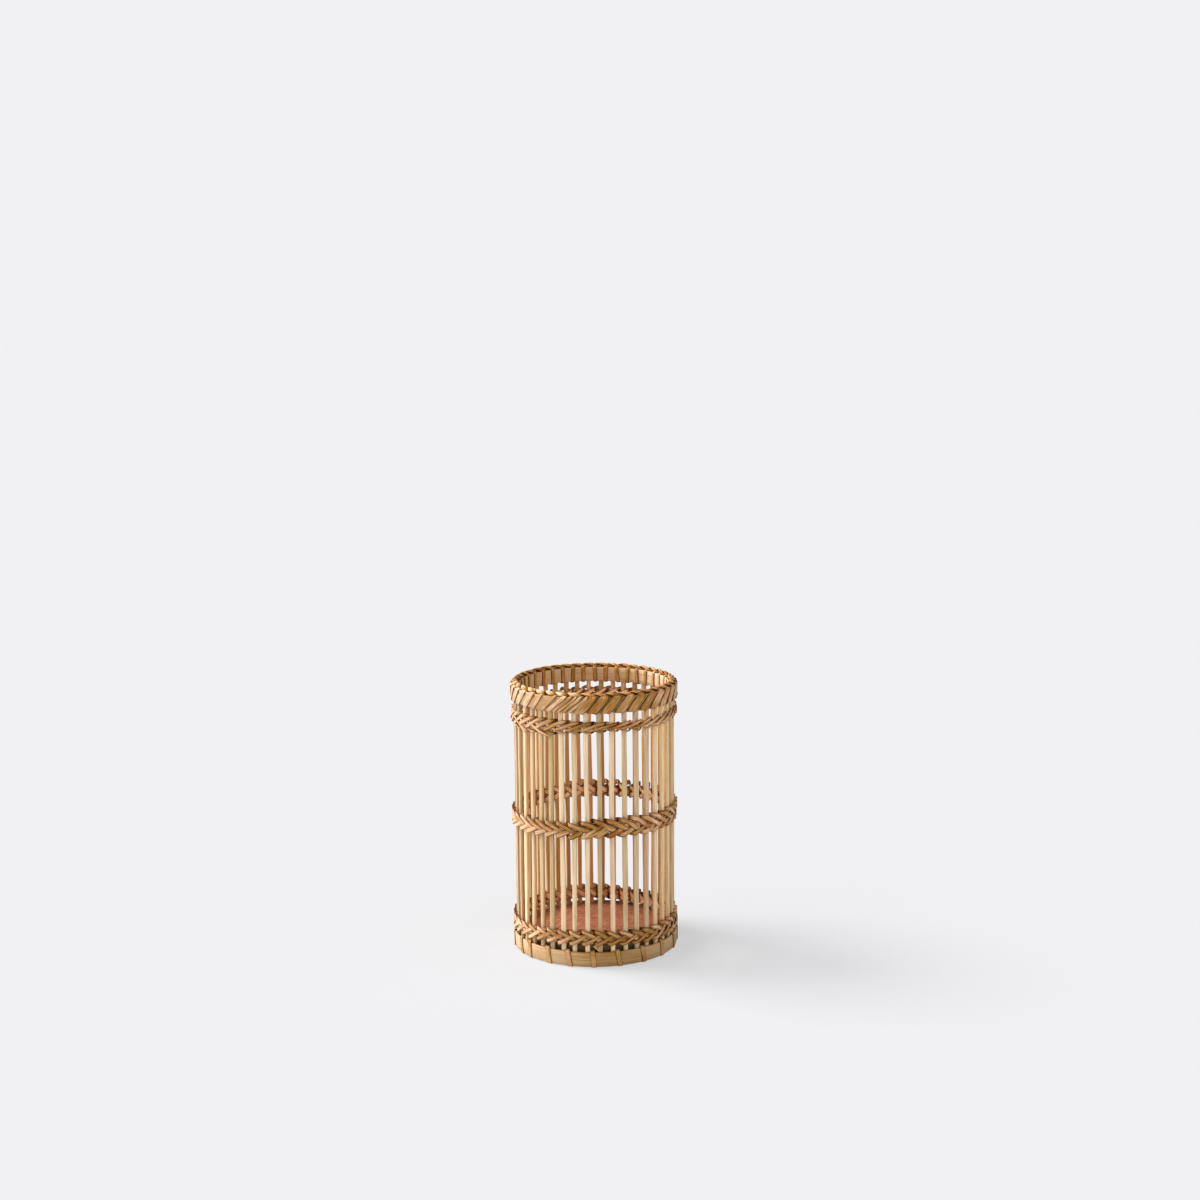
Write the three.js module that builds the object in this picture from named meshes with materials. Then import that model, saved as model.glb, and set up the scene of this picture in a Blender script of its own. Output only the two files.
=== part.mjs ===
// Bamboo utensil holder: an open cage of split-bamboo staves between a lashed base and a lashed rim,
// tied together by three twined bands. Millimetres, +Z up, origin on the floor at the centre.
import * as THREE from 'three';

// Driving dimensions
const overallHeight = 149.2; // floor to the tops of the rim cord's beads
const staveCircleRadius = 42.8; // axis of the holder to the middle of a stave
const staveCount = 40; // one over a multiple of three, so that a band's strands step on with each round
const firstStaveDegrees = 3.5; // first stave, turned from the front towards +X
const staveWidth = 2.6;
const staveThickness = 2.0;
const seatGap = 0.3; // left between pieces that bear on each other

// Hoops of flat bamboo strip
const hoopThickness = 1.0;
const rimHoopHeight = 8.2;
const baseHoopHeight = 7.7;
const baseInnerHoopHeight = 3.4;

// Lashing strip, split thin and wound round each pair of hoops
const lashingThickness = 0.5;
const rimLashingWidth = 3.0; // measured along the hoop
const baseLashingWidth = 2.6;
const baseWrapLeanDegrees = 2; // an outside pass drifts this far on its way down
const baseUndersideDriftDegrees = 6; // the pass under the hoops drifts this far
const wrapEndShare = 0.06; // either end of a lashing stops this share of a pass short of the other

// Rim cord, a chain of beads over the stave tops
const beadHeight = 2.2; // from the hoops' top edges
const beadWidth = 3.3;
const beadLength = 3.6;
const cordThickness = 0.8; // between two beads
const cordSides = 5;

// Base board
const boardThickness = 3.0;
const boardSegments = 60;

// Twined bands
const strandThickness = 0.9;
const strandHeight = 1.6;
const upperStrandHeight = 1.1; // the band under the rim is of finer strands
const strandBulge = 0.7; // how far a strand stands out, between its two staves, over those that cross there
const stitchStaves = 3; // a stitch goes before two staves and behind the third
const lowerBandLift = 7.3; // base hoop's top to the middle of the lower band
const middleBandShare = 0.51; // the middle band's place, of the overall height
const upperBandDrop = 7.4; // rim hoops' bottom to the middle of the upper band
const strandCornerShare = 0.24; // a strand turns into the gap this share of a pitch from the stave's middle
const insideSwingShare = 0.6; // behind a stave a strand swings up and down this share of its swing in front

// Sizes worked out from the ones above
const pitchDegrees = 360 / staveCount;
const staveOuterRadius = staveCircleRadius + staveThickness / 2;
const staveInnerRadius = staveCircleRadius - staveThickness / 2;
const outerHoopInside = staveOuterRadius + seatGap;
const outerHoopOutside = outerHoopInside + hoopThickness;
const innerHoopOutside = staveInnerRadius - seatGap;
const innerHoopInside = innerHoopOutside - hoopThickness;
const lashingOffset = seatGap + lashingThickness / 2;
const lashingOuterRadius = outerHoopOutside + lashingOffset;
const lashingInnerRadius = innerHoopInside - lashingOffset;
const baseHoopBottom = lashingThickness + seatGap;
const baseHoopTop = baseHoopBottom + baseHoopHeight;
const baseInnerHoopTop = baseHoopBottom + baseInnerHoopHeight;
const boardBottom = baseInnerHoopTop + lashingThickness + 2 * seatGap;
const boardTop = boardBottom + boardThickness;
const boardRadius = staveInnerRadius - seatGap;
const rimHoopTop = overallHeight - beadHeight;
const rimHoopBottom = rimHoopTop - rimHoopHeight;

// The three bands, from the bottom up. In a row with lean +1 the strands rise towards +X in front.
const bands = [
  {
    name: 'lower_band',
    middle: baseHoopTop + lowerBandLift,
    height: strandHeight,
    leans: { bottom: 1, top: -1 },
    firstStave: 22,
  },
  {
    name: 'middle_band',
    middle: middleBandShare * overallHeight,
    height: strandHeight,
    leans: { bottom: 1, top: -1 },
    firstStave: 14,
  },
  {
    name: 'upper_band',
    middle: rimHoopBottom - upperBandDrop,
    height: upperStrandHeight,
    leans: { bottom: -1, top: 1 },
    firstStave: 28,
  },
];

const degrees = Math.PI / 180;

function staveAngle(index) {
  return firstStaveDegrees + pitchDegrees * index;
}

// The point at a height z and a radius, turned by an angle in degrees from the front (-Y) towards +X
function polar(angle, radius, z) {
  return new THREE.Vector3(radius * Math.sin(angle * degrees), -radius * Math.cos(angle * degrees), z);
}

// Six times the volume inside a triangle mesh, negative when its faces point in
function signedVolume(positions, index) {
  const corners = [new THREE.Vector3(), new THREE.Vector3(), new THREE.Vector3()];
  let sum = 0;
  for (let i = 0; i < index.length; i += 3) {
    corners.forEach((corner, k) => corner.fromArray(positions, 3 * index[i + k]));
    sum += corners[0].dot(corners[1].cross(corners[2]));
  }
  return sum;
}

// A closed body lofted through rings of corners, with a cap at each end unless it runs into itself
function loft(rings, closed) {
  const count = rings[0].length;
  const positions = rings.flat().flatMap((point) => point.toArray());
  const index = [];
  const spans = closed ? rings.length : rings.length - 1;
  for (let ring = 0; ring < spans; ring += 1) {
    const next = (ring + 1) % rings.length;
    for (let side = 0; side < count; side += 1) {
      const across = (side + 1) % count;
      const a = ring * count + side;
      const b = ring * count + across;
      const c = next * count + across;
      const d = next * count + side;
      index.push(a, b, c, a, c, d);
    }
  }
  if (!closed) {
    const end = (rings.length - 1) * count;
    for (let side = 1; side < count - 1; side += 1) {
      index.push(0, side + 1, side, end, end + side, end + side + 1);
    }
  }
  if (signedVolume(positions, index) < 0) {
    for (let i = 0; i < index.length; i += 3) {
      [index[i], index[i + 1]] = [index[i + 1], index[i]];
    }
  }
  const geometry = new THREE.BufferGeometry();
  geometry.setAttribute('position', new THREE.Float32BufferAttribute(positions, 3));
  geometry.setIndex(index);
  geometry.computeVertexNormals();
  return geometry;
}

// One named piece with a finish of its own
function piece(name, geometry, color, roughness) {
  const mesh = new THREE.Mesh(geometry, new THREE.MeshStandardMaterial({ color, roughness, metalness: 0 }));
  mesh.name = name;
  return mesh;
}

// A ring of rectangular section, turned about the upright axis
function ringGeometry(insideRadius, outsideRadius, bottom, top, segments) {
  const profile = [
    new THREE.Vector2(insideRadius, bottom),
    new THREE.Vector2(outsideRadius, bottom),
    new THREE.Vector2(outsideRadius, top),
    new THREE.Vector2(insideRadius, top),
    new THREE.Vector2(insideRadius, bottom),
  ];
  return new THREE.LatheGeometry(profile, segments).rotateX(Math.PI / 2);
}

// Staves: split bamboo, flat behind and rounded off at the two outer edges, standing between the hoops
const staveColor = 0xd9b887;
const staveRoundShare = 0.3; // of the thickness, taken off each outer edge

function staveGeometry() {
  const half = staveWidth / 2;
  const round = staveRoundShare * staveThickness;
  const section = new THREE.Shape();
  section.moveTo(-half, staveThickness / 2);
  section.lineTo(-half, round - staveThickness / 2);
  section.lineTo(round - half, -staveThickness / 2);
  section.lineTo(half - round, -staveThickness / 2);
  section.lineTo(half, round - staveThickness / 2);
  section.lineTo(half, staveThickness / 2);
  section.closePath();
  const length = rimHoopTop - baseHoopBottom;
  const geometry = new THREE.ExtrudeGeometry(section, { depth: length, bevelEnabled: false });
  return geometry.translate(0, 0, baseHoopBottom);
}

function makeStaves() {
  const staves = new THREE.Group();
  for (let index = 0; index < staveCount; index += 1) {
    const name = `stave_${String(index + 1).padStart(2, '0')}`;
    const stave = piece(name, staveGeometry(), staveColor, 0.55);
    const turn = staveAngle(index);
    stave.position.copy(polar(turn, staveCircleRadius, 0));
    stave.rotation.z = turn * degrees;
    staves.add(stave);
  }
  return staves;
}

// Hoops: flat strips bent into rings, one pair at the rim and one pair at the base
const hoopColor = 0xc9a56c;

function makeHoops() {
  const hoops = new THREE.Group();
  const table = [
    ['rim_outer_hoop', outerHoopInside, outerHoopOutside, rimHoopBottom, rimHoopTop],
    ['rim_inner_hoop', innerHoopInside, innerHoopOutside, rimHoopBottom, rimHoopTop],
    ['base_outer_hoop', outerHoopInside, outerHoopOutside, baseHoopBottom, baseHoopTop],
    ['base_inner_hoop', innerHoopInside, innerHoopOutside, baseHoopBottom, baseInnerHoopTop],
  ];
  for (const [name, inside, outside, bottom, top] of table) {
    hoops.add(piece(name, ringGeometry(inside, outside, bottom, top, staveCount), hoopColor, 0.5));
  }
  return hoops;
}

// Base board: a round of thin plywood that lies on the lashing over the inner hoop, inside the staves
const boardColor = 0xa5683f;

function makeBoard() {
  const geometry = new THREE.CylinderGeometry(boardRadius, boardRadius, boardThickness, boardSegments);
  geometry.rotateX(Math.PI / 2).translate(0, 0, (boardBottom + boardTop) / 2);
  return piece('base_board', geometry, boardColor, 0.7);
}

// Twined bands. Three strands run in each row. A strand passes before two staves and behind the third,
// one stave later than the strand beside it. In a gap one strand dives in at one edge of the row, the
// next comes out at the other edge, and the third stands out over both, between its two staves.
const strandColor = 0xb0783f;
const strandOuterRadius = staveOuterRadius + seatGap + strandThickness / 2;
const strandInnerRadius = staveInnerRadius - seatGap - strandThickness / 2;

// Mitred corners of a flat strip that stands on edge and follows a route, seen from above
function edgewiseRings(route, thickness, height) {
  return route.map((point, i) => {
    const before = route[Math.max(i - 1, 0)];
    const after = route[Math.min(i + 1, route.length - 1)];
    const inward = new THREE.Vector2(point.x - before.x, point.y - before.y);
    const onward = new THREE.Vector2(after.x - point.x, after.y - point.y);
    const first = inward.length() > 0 ? inward.clone().normalize() : onward.clone().normalize();
    const second = onward.length() > 0 ? onward.clone().normalize() : first;
    const along = first.clone().add(second).normalize();
    const reach = thickness / 2 / along.dot(second);
    const side = new THREE.Vector3(-along.y, along.x, 0).multiplyScalar(reach);
    const up = new THREE.Vector3(0, 0, height / 2);
    return [
      point.clone().add(side).add(up),
      point.clone().sub(side).add(up),
      point.clone().sub(side).sub(up),
      point.clone().add(side).sub(up),
    ];
  });
}

// From behind the first stave to behind the last: each stitch goes before two staves and behind a third
function strandRoute(firstStave, stitches, middle, swing) {
  const corner = strandCornerShare * pitchDegrees;
  const endGap = seatGap / strandInnerRadius / degrees;
  const inside = insideSwingShare * swing;
  const route = [polar(staveAngle(firstStave) + endGap / 2, strandInnerRadius, middle)];
  for (let stitch = 0; stitch < stitches; stitch += 1) {
    const behind = staveAngle(firstStave + stitchStaves * stitch);
    const next = staveAngle(firstStave + stitchStaves * (stitch + 1));
    const over = (behind + next) / 2;
    const reach = pitchDegrees / 2 + corner;
    route.push(polar(behind + corner, strandInnerRadius, middle - inside));
    route.push(polar(over - reach, strandOuterRadius, middle - swing));
    route.push(polar(over, strandOuterRadius + strandBulge, middle));
    route.push(polar(over + reach, strandOuterRadius, middle + swing));
    route.push(polar(next - corner, strandInnerRadius, middle + inside));
  }
  const last = staveAngle(firstStave + stitchStaves * stitches);
  route.push(polar(last - endGap / 2, strandInnerRadius, middle));
  return route;
}

// Each row is worked with two canes: a long one that goes round twice and one that goes round once
function makeBands() {
  const group = new THREE.Group();
  const canes = [
    { cane: 'a', start: 0, stitches: Math.round((2 * staveCount + 1) / stitchStaves) },
    { cane: 'b', start: 1, stitches: Math.round((staveCount - 1) / stitchStaves) },
  ];
  for (const band of bands) {
    const swing = (band.height + seatGap) * (0.5 + strandCornerShare);
    const rowHeight = 2 * swing + band.height;
    const rows = [
      { row: 'bottom', middle: band.middle - (rowHeight + seatGap) / 2 },
      { row: 'top', middle: band.middle + (rowHeight + seatGap) / 2 },
    ];
    for (const { row, middle } of rows) {
      for (const { cane, start, stitches } of canes) {
        const route = strandRoute(band.firstStave + start, stitches, middle, band.leans[row] * swing);
        const geometry = loft(edgewiseRings(route, strandThickness, band.height), false);
        group.add(piece(`${band.name}_${row}_strand_${cane}`, geometry, strandColor, 0.6));
      }
    }
  }
  return group;
}

// Lashings. A wound strip is given by its passes: an angle, a radius and a height at each corner of its
// way round the hoops, and the way its outer face looks there in radius and height.
const lashingColor = 0xb98a55;

function woundRings(corners, width) {
  return corners.map(({ angle, radius, z, outR, outZ }) => {
    const half = lashingThickness / 2;
    const turn = width / 2 / radius / degrees;
    return [
      polar(angle - turn, radius + outR * half, z + outZ * half),
      polar(angle + turn, radius + outR * half, z + outZ * half),
      polar(angle + turn, radius - outR * half, z - outZ * half),
      polar(angle - turn, radius - outR * half, z - outZ * half),
    ];
  });
}

// A place on the way from one corner of a winding to the next, the strip lying flat on the inner hoop
function partWay(from, to, share) {
  return {
    angle: from.angle + (to.angle - from.angle) * share,
    radius: from.radius,
    z: from.z + (to.z - from.z) * share,
    outR: -1,
    outZ: 0,
  };
}

function makeRimLashing() {
  const top = rimHoopTop + lashingOffset;
  const bottom = rimHoopBottom - lashingOffset;
  const corners = [];
  for (let turn = 0; turn < staveCount; turn += 1) {
    const gap = staveAngle(turn) + pitchDegrees / 2;
    const next = gap + pitchDegrees;
    corners.push({ angle: gap, radius: lashingInnerRadius, z: bottom, outR: -1, outZ: -1 });
    corners.push({ angle: gap, radius: lashingOuterRadius, z: bottom, outR: 1, outZ: -1 });
    corners.push({ angle: next, radius: lashingOuterRadius, z: top, outR: 1, outZ: 1 });
    corners.push({ angle: next, radius: lashingInnerRadius, z: top, outR: -1, outZ: 1 });
  }
  const first = corners[0];
  const last = corners[corners.length - 1];
  const start = { ...last, angle: first.angle };
  corners.unshift(partWay(start, first, 0.5 + wrapEndShare));
  corners.push(partWay(last, { ...first, angle: last.angle }, 0.5 - wrapEndShare));
  return piece('rim_lashing', loft(woundRings(corners, rimLashingWidth), false), lashingColor, 0.55);
}

function makeBaseLashing() {
  const bottom = baseHoopBottom - lashingOffset;
  const innerTop = baseInnerHoopTop + lashingOffset;
  const outerTop = baseHoopTop + lashingOffset;
  const wrapPitch = 2 * pitchDegrees;
  const underside = baseWrapLeanDegrees + baseUndersideDriftDegrees;
  const corners = [];
  for (let wrap = 0; wrap < staveCount / 2; wrap += 1) {
    const gap = staveAngle(2 * wrap) - pitchDegrees / 2;
    const foot = gap + baseWrapLeanDegrees;
    corners.push({ angle: gap, radius: lashingInnerRadius, z: innerTop, outR: -1, outZ: 1 });
    corners.push({ angle: gap, radius: staveCircleRadius, z: innerTop, outR: -1, outZ: 1 });
    corners.push({ angle: gap, radius: staveCircleRadius, z: outerTop, outR: -1, outZ: 1 });
    corners.push({ angle: gap, radius: lashingOuterRadius, z: outerTop, outR: 1, outZ: 1 });
    corners.push({ angle: foot, radius: lashingOuterRadius, z: bottom, outR: 1, outZ: -1 });
    corners.push({ angle: gap + underside, radius: lashingInnerRadius, z: bottom, outR: -1, outZ: -1 });
  }
  const first = corners[0];
  const last = corners[corners.length - 1];
  const start = { ...last, angle: first.angle - wrapPitch + underside };
  corners.unshift(partWay(start, first, 0.5 + wrapEndShare));
  corners.push(partWay(last, { ...first, angle: last.angle + wrapPitch - underside }, 0.5 - wrapEndShare));
  return piece('base_lashing', loft(woundRings(corners, baseLashingWidth), false), lashingColor, 0.55);
}

// Rim cord: a bead over each stave, and a thin stretch over the lashing in each gap
function makeRimCord() {
  const beadDepth = beadHeight - seatGap;
  const middle = overallHeight - beadDepth / 2;
  const thinMiddle = rimHoopTop + lashingOffset + lashingThickness / 2 + seatGap + cordThickness / 2;
  const beadEnd = beadLength / 2 / staveCircleRadius / degrees;
  const rings = [];
  const section = (angle, width, height, z) => {
    const ring = [];
    for (let side = 0; side < cordSides; side += 1) {
      const around = (2 * Math.PI * (side + 0.5)) / cordSides;
      const across = (width / 2) * Math.sin(around);
      const lift = (height / 2 / Math.cos(Math.PI / cordSides)) * Math.cos(around);
      ring.push(polar(angle, staveCircleRadius + across, z + lift));
    }
    rings.push(ring);
  };
  for (let index = 0; index < staveCount; index += 1) {
    const angle = staveAngle(index);
    section(angle - beadEnd, cordThickness, cordThickness, thinMiddle);
    section(angle, beadWidth, beadDepth, middle);
    section(angle + beadEnd, cordThickness, cordThickness, thinMiddle);
  }
  return piece('rim_cord', loft(rings, true), strandColor, 0.6);
}

const holder = new THREE.Group();
holder.add(makeStaves(), makeHoops(), makeBoard(), makeBands());
holder.add(makeRimLashing(), makeRimCord(), makeBaseLashing());

export default holder;
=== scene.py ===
import bpy
import math
import random
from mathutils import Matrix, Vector


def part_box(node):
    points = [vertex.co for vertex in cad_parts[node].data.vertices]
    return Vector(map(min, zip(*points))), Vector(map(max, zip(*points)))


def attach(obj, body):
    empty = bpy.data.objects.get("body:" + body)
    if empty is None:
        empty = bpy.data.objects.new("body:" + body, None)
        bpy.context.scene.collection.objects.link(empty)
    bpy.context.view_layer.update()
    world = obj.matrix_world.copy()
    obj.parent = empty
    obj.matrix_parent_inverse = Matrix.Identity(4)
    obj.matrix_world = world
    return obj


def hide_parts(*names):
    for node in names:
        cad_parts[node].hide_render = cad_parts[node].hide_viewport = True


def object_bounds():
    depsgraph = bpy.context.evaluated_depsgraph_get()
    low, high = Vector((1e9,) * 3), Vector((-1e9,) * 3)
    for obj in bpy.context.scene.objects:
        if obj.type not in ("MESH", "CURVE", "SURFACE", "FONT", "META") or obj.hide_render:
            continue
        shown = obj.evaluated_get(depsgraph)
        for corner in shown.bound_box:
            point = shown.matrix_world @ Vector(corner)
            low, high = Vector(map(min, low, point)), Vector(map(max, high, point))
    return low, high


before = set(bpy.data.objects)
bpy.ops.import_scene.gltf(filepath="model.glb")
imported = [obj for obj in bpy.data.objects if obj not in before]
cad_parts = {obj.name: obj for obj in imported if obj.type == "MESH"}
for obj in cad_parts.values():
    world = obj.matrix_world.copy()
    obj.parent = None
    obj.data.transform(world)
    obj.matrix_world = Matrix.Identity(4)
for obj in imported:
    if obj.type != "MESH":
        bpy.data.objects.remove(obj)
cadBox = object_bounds()

# Bamboo utensil holder: upright staves between lashed hoops, tied by three twined bands.
# Angles are in degrees from the front (-Y) towards +X, lengths in metres.
mm = 0.001
up = Vector((0, 0, 1))

# Sizes read from the frame
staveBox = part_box("stave_01")
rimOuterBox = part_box("rim_outer_hoop")
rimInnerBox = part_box("rim_inner_hoop")
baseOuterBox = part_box("base_outer_hoop")
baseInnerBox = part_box("base_inner_hoop")
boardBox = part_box("base_board")
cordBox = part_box("rim_cord")

cage = {
    "staves": 40,
    "firstStave": 3.5,
    "radius": 42.8 * mm,  # to the middle of the staves
    "staveThickness": 2.0 * mm,
}
pitch = 360 / cage["staves"]
staveOuter = cage["radius"] + cage["staveThickness"] / 2
staveInner = cage["radius"] - cage["staveThickness"] / 2
outerHoopOutside = rimOuterBox[1][0]
innerHoopOutside = rimInnerBox[1][0]
hoopThickness = 1.0 * mm


def staveAngle(index):
    return cage["firstStave"] + pitch * index


def outward(angle):
    a = math.radians(angle)
    return Vector((math.sin(a), -math.cos(a), 0))


def polar(angle, radius, z):
    return outward(angle) * radius + up * z


def deselectAll():
    bpy.ops.object.select_all(action="DESELECT")


def clamped(share):
    return min(max(share, 0), 1)


def angleFrom(first, angle):
    # The same angle, counted from a first one to a full turn after it
    return (angle - first) % 360 + first


def near(angle, middle, reach):
    # 1 at an angle, easing to 0 at a reach from it
    away = abs(angleFrom(-180, angle - middle))
    return math.cos(min(away / reach, 1) * math.pi / 2) ** 2


def along(angle, start, rise, end, fall):
    # 1 along a stretch of angles, over its first degrees rising from 0 and over its last ones falling to 0
    return clamped((angle - start) / rise) * clamped((end - angle) / fall)


# Materials

mixSockets = {"factor": 0, "first": 6, "second": 7, "result": 2}  # of a Mix node that mixes colours
noiseSpan = (0.3, 0.7)  # most of a noise lies in it


def feed(tree, node, sources):
    # Each socket takes a link, a colour or a number
    for key, source in sources.items():
        socket = node.inputs[key]
        if isinstance(source, bpy.types.NodeSocket):
            tree.links.new(source, socket)
        else:
            socket.default_value = (*source, 1) if socket.type == "RGBA" else source


def addNode(tree, kind, sources, **settings):
    node = tree.nodes.new("ShaderNode" + kind)
    for key, setting in settings.items():
        setattr(node, key, setting)
    feed(tree, node, sources)
    return node


def newMaterial(name):
    material = bpy.data.materials.new(name)
    material.use_nodes = True
    return material, material.node_tree, material.node_tree.nodes["Principled BSDF"]


def colourRamp(tree, factor, stops):
    ramp = addNode(tree, "ValToRGB", {"Fac": factor})
    elements = ramp.color_ramp.elements
    while len(elements) < len(stops):
        elements.new(0.5)  # put in its place below
    for element, (place, colour) in zip(elements, stops):
        element.position = place
        element.color = (*colour, 1)
    return ramp.outputs["Color"]


def mixColours(tree, blend, factor, first, second):
    sources = {mixSockets["factor"]: factor, mixSockets["first"]: first, mixSockets["second"]: second}
    mix = addNode(tree, "Mix", sources, data_type="RGBA", blend_type=blend)
    return mix.outputs[mixSockets["result"]]


def noise(tree, vector, detail, rough=0.5):
    # Its scale is 1, because the vector is already scaled
    sources = {"Vector": vector, "Scale": 1, "Detail": detail, "Roughness": rough}
    return addNode(tree, "TexNoise", sources).outputs["Fac"]


def mapRange(tree, source, toSpan, fromSpan=noiseSpan, clamp=True):
    sources = {
        "Value": source, "From Min": fromSpan[0], "From Max": fromSpan[1],
        "To Min": toSpan[0], "To Max": toSpan[1],
    }
    return addNode(tree, "MapRange", sources, clamp=clamp).outputs["Result"]


def patternVector(tree, look):
    # A strip's pattern reads millimetres along and across it, any other one the place in the object
    if look["along"] == "strip":
        return addNode(tree, "UVMap", {}, uv_map="strip").outputs["UV"]
    return addNode(tree, "TexCoord", {}).outputs["Object"]


def mapped(tree, vector, scale, turn=0):
    sources = {"Vector": vector, "Scale": scale, "Rotation": (0, 0, math.radians(turn))}
    mapping = addNode(tree, "Mapping", sources, vector_type="TEXTURE" if turn else "POINT")
    return mapping.outputs["Vector"]


def vertexValue(tree, name):
    return addNode(tree, "Attribute", {}, attribute_name=name).outputs["Fac"]


# What the materials have in common
fibreWork = {
    "detail": 4,
    "rough": 0.6,
    "blotchDetail": 2,
    "places": (0.25, 0.5, 0.75),  # of the dark, the base and the light colour on the ramp
    "contrast": (0.2, 0.8),  # part of the ramp that the fibres take
    "edges": (0.15, 0.9),  # values of "edge" from no darkening to full darkening: painted shade on strips and hoops, the darker back on staves
    "tones": (-0.5, 1.5),  # values of "tone" from the richest colour to the plainest
    "tintTurns": 7.3,  # rounds of the two tints as the tone goes from 0 to 1
    "gloss": 0.08,  # how much smoother and rougher the fibres are
    "bumpDepth": 0.15 * mm,
}


def tintByTone(tree, tone, tints):
    wheel = addNode(tree, "Math", {0: tone, 1: fibreWork["tintTurns"]}, operation="MULTIPLY")
    share = addNode(tree, "Math", {0: wheel.outputs["Value"]}, operation="FRACT")
    return mixColours(tree, "MIX", share.outputs["Value"], *tints)


def fibreMaterial(name, look):
    # Split bamboo, cane or ply: fine fibres, blotches, darkened edges (painted shade on strips and hoops,
    # the darker back of the staves), a tone and tint for each piece
    material, tree, shader = newMaterial(name)
    vector = patternVector(tree, look)
    fibreVector = mapped(tree, vector, look["fibreScale"], look.get("turn", 0))
    fibre = noise(tree, fibreVector, fibreWork["detail"], fibreWork["rough"])
    blotch = noise(tree, mapped(tree, vector, look["blotchScale"]), fibreWork["blotchDetail"])
    tone = vertexValue(tree, "tone")
    edge = vertexValue(tree, "edge")

    stops = list(zip(fibreWork["places"], (look["dark"], look["base"], look["light"])))
    fibres = colourRamp(tree, mapRange(tree, fibre, fibreWork["contrast"]), stops)
    blotches = mapRange(tree, blotch, (0, look["patchiness"]))
    patched = mixColours(tree, "MULTIPLY", blotches, fibres, look["stain"])
    # painted shade at the borders of strips and hoops; on the staves the darker back
    edgeDarkening = mapRange(tree, edge, (0, look["edgeShade"]), fibreWork["edges"])
    edged = mixColours(tree, "MULTIPLY", edgeDarkening, patched, look["edgeColourAndShade"])
    tinted = mixColours(tree, "MULTIPLY", 1.0, edged, tintByTone(tree, tone, look["tints"]))
    spread = look["toneSpread"]
    toned = addNode(tree, "HueSaturation", {
        "Saturation": mapRange(tree, tone, look["saturation"], fibreWork["tones"]),
        "Value": mapRange(tree, tone, (1 - spread, 1 + spread), (0, 1), clamp=False),
        "Color": tinted,
    })

    rough, gloss = look["rough"], fibreWork["gloss"]
    bumpDepth = fibreWork["bumpDepth"]
    bump = addNode(tree, "Bump", {"Strength": look["bump"], "Distance": bumpDepth, "Height": fibre})
    feed(tree, shader, {
        "Base Color": toned.outputs["Color"],
        "Roughness": mapRange(tree, fibre, (rough + gloss, rough - gloss)),
        "Specular IOR Level": look["specular"],
        "Normal": bump.outputs["Normal"],
    })
    return material


# Scales count a pattern's cells to a metre, or to a millimetre along and across a strip. Saturation is that
# of dark pieces and of pale ones
staveLook = {
    "along": "height",
    "fibreScale": (2200, 2200, 45),
    "blotchScale": (90, 90, 14),
    "dark": (0.60, 0.42, 0.21),
    "base": (0.79, 0.635, 0.425),
    "light": (0.90, 0.78, 0.58),
    "stain": (0.86, 0.69, 0.50),
    "patchiness": 0.75,
    "toneSpread": 0.22,
    "edgeShade": 0.85,
    "edgeColourAndShade": (0.84, 0.60, 0.34),
    "tints": ((1.0, 1.0, 0.86), (1.0, 0.92, 0.90)),
    "saturation": (1.1, 0.88),
    "rough": 0.52,
    "specular": 0.28,
    "bump": 0.25,
}
hoopLook = {
    "along": "strip",
    "fibreScale": (0.035, 3.2, 1),
    "blotchScale": (0.05, 0.12, 1),
    "dark": (0.45, 0.26, 0.10),
    "base": (0.61, 0.41, 0.215),
    "light": (0.76, 0.57, 0.36),
    "stain": (0.84, 0.68, 0.48),
    "patchiness": 0.7,
    "toneSpread": 0.16,
    "edgeShade": 0.85,
    "edgeColourAndShade": (0.5, 0.3, 0.13),
    "tints": ((1, 1, 1), (1, 1, 1)),
    "saturation": (1.2, 0.85),
    "rough": 0.5,
    "specular": 0.28,
    "bump": 0.3,
}
strandLook = {
    "along": "strip",
    "fibreScale": (0.16, 4.5, 1),
    "blotchScale": (0.1, 0.3, 1),
    "dark": (0.26, 0.09, 0.016),
    "base": (0.53, 0.29, 0.12),
    "light": (0.90, 0.71, 0.51),
    "stain": (0.78, 0.54, 0.33),
    "patchiness": 0.8,
    "toneSpread": 0.26,
    "edgeShade": 0.95,
    "edgeColourAndShade": (0.16, 0.045, 0.01),
    "tints": ((0.93, 1.0, 0.78), (1.0, 0.93, 0.92)),
    "saturation": (1.32, 0.88),
    "rough": 0.48,
    "specular": 0.25,
    "bump": 0.4,
}
lashingLook = {
    "along": "strip",
    "fibreScale": (0.14, 4.5, 1),
    "blotchScale": (0.08, 0.3, 1),
    "dark": (0.33, 0.14, 0.035),
    "base": (0.58, 0.345, 0.155),
    "light": (0.89, 0.72, 0.54),
    "stain": (0.80, 0.60, 0.40),
    "patchiness": 0.7,
    "toneSpread": 0.24,
    "edgeShade": 0.95,
    "edgeColourAndShade": (0.17, 0.055, 0.012),
    "tints": ((0.97, 1.0, 0.84), (1.0, 0.89, 0.86)),
    "saturation": (1.32, 0.8),
    "rough": 0.46,
    "specular": 0.25,
    "bump": 0.35,
}
boardLook = {
    "along": "height",
    "turn": 38,  # streaks run askew, and a turned pattern is given in lengths
    "fibreScale": (4.5 * mm, 0.7 * mm, 1),
    "blotchScale": (60, 60, 60),
    "dark": (0.23, 0.07, 0.027),
    "base": (0.455, 0.168, 0.08),
    "light": (0.78, 0.41, 0.25),
    "stain": (0.85, 0.70, 0.62),
    "patchiness": 0.8,
    "toneSpread": 0.0,
    "edgeShade": 0.0,
    "edgeColourAndShade": (1, 1, 1),
    "tints": ((1, 1, 1), (1, 1, 1)),
    "saturation": (1.0, 1.0),
    "rough": 0.62,
    "specular": 0.3,
    "bump": 0.35,
}
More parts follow.
